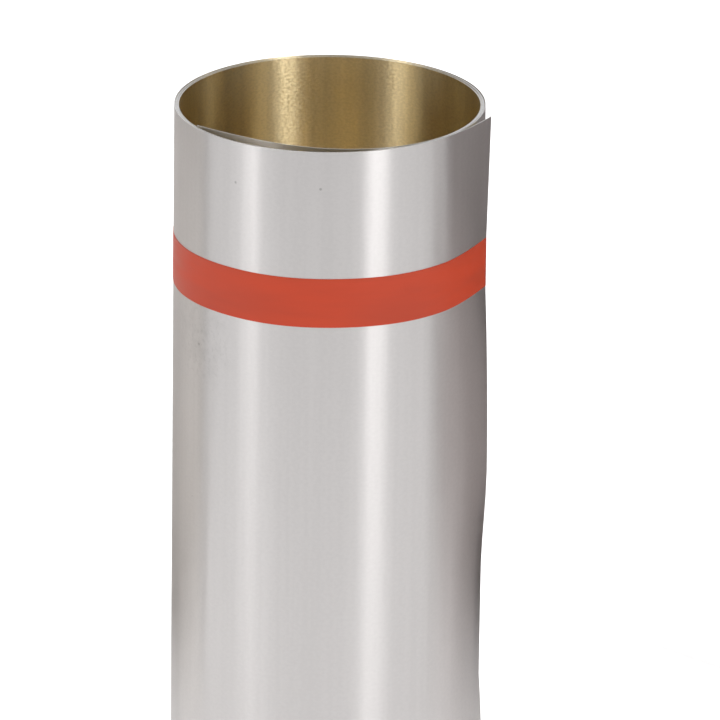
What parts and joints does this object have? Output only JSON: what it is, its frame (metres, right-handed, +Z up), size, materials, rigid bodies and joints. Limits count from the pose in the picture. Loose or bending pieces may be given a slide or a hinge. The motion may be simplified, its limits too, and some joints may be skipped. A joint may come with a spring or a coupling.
{
  "type": "roll of steel flashing",
  "caption": "Coil of thin bright sheet steel for roof flashing, standing on its end with an open bore, its free outer end sprung off at the top, held by a band of tape.",
  "frame": {"origin": "on the roll's axis, in the plane of its lower end", "axes": "+Z up along the roll's axis; the free outer end of the sheet is on the +X side, a little towards -Y"},
  "size_m": [0.1584, 0.1556, 0.3556],
  "materials": {
    "sheet_steel": "bright rolled sheet, its inner face lacquered gold",
    "tape": "satin plastic film"
  },
  "bodies": {
    "root": {"coil": "sheet_steel", "tape_band": "tape"}
  },
  "joints": []
}
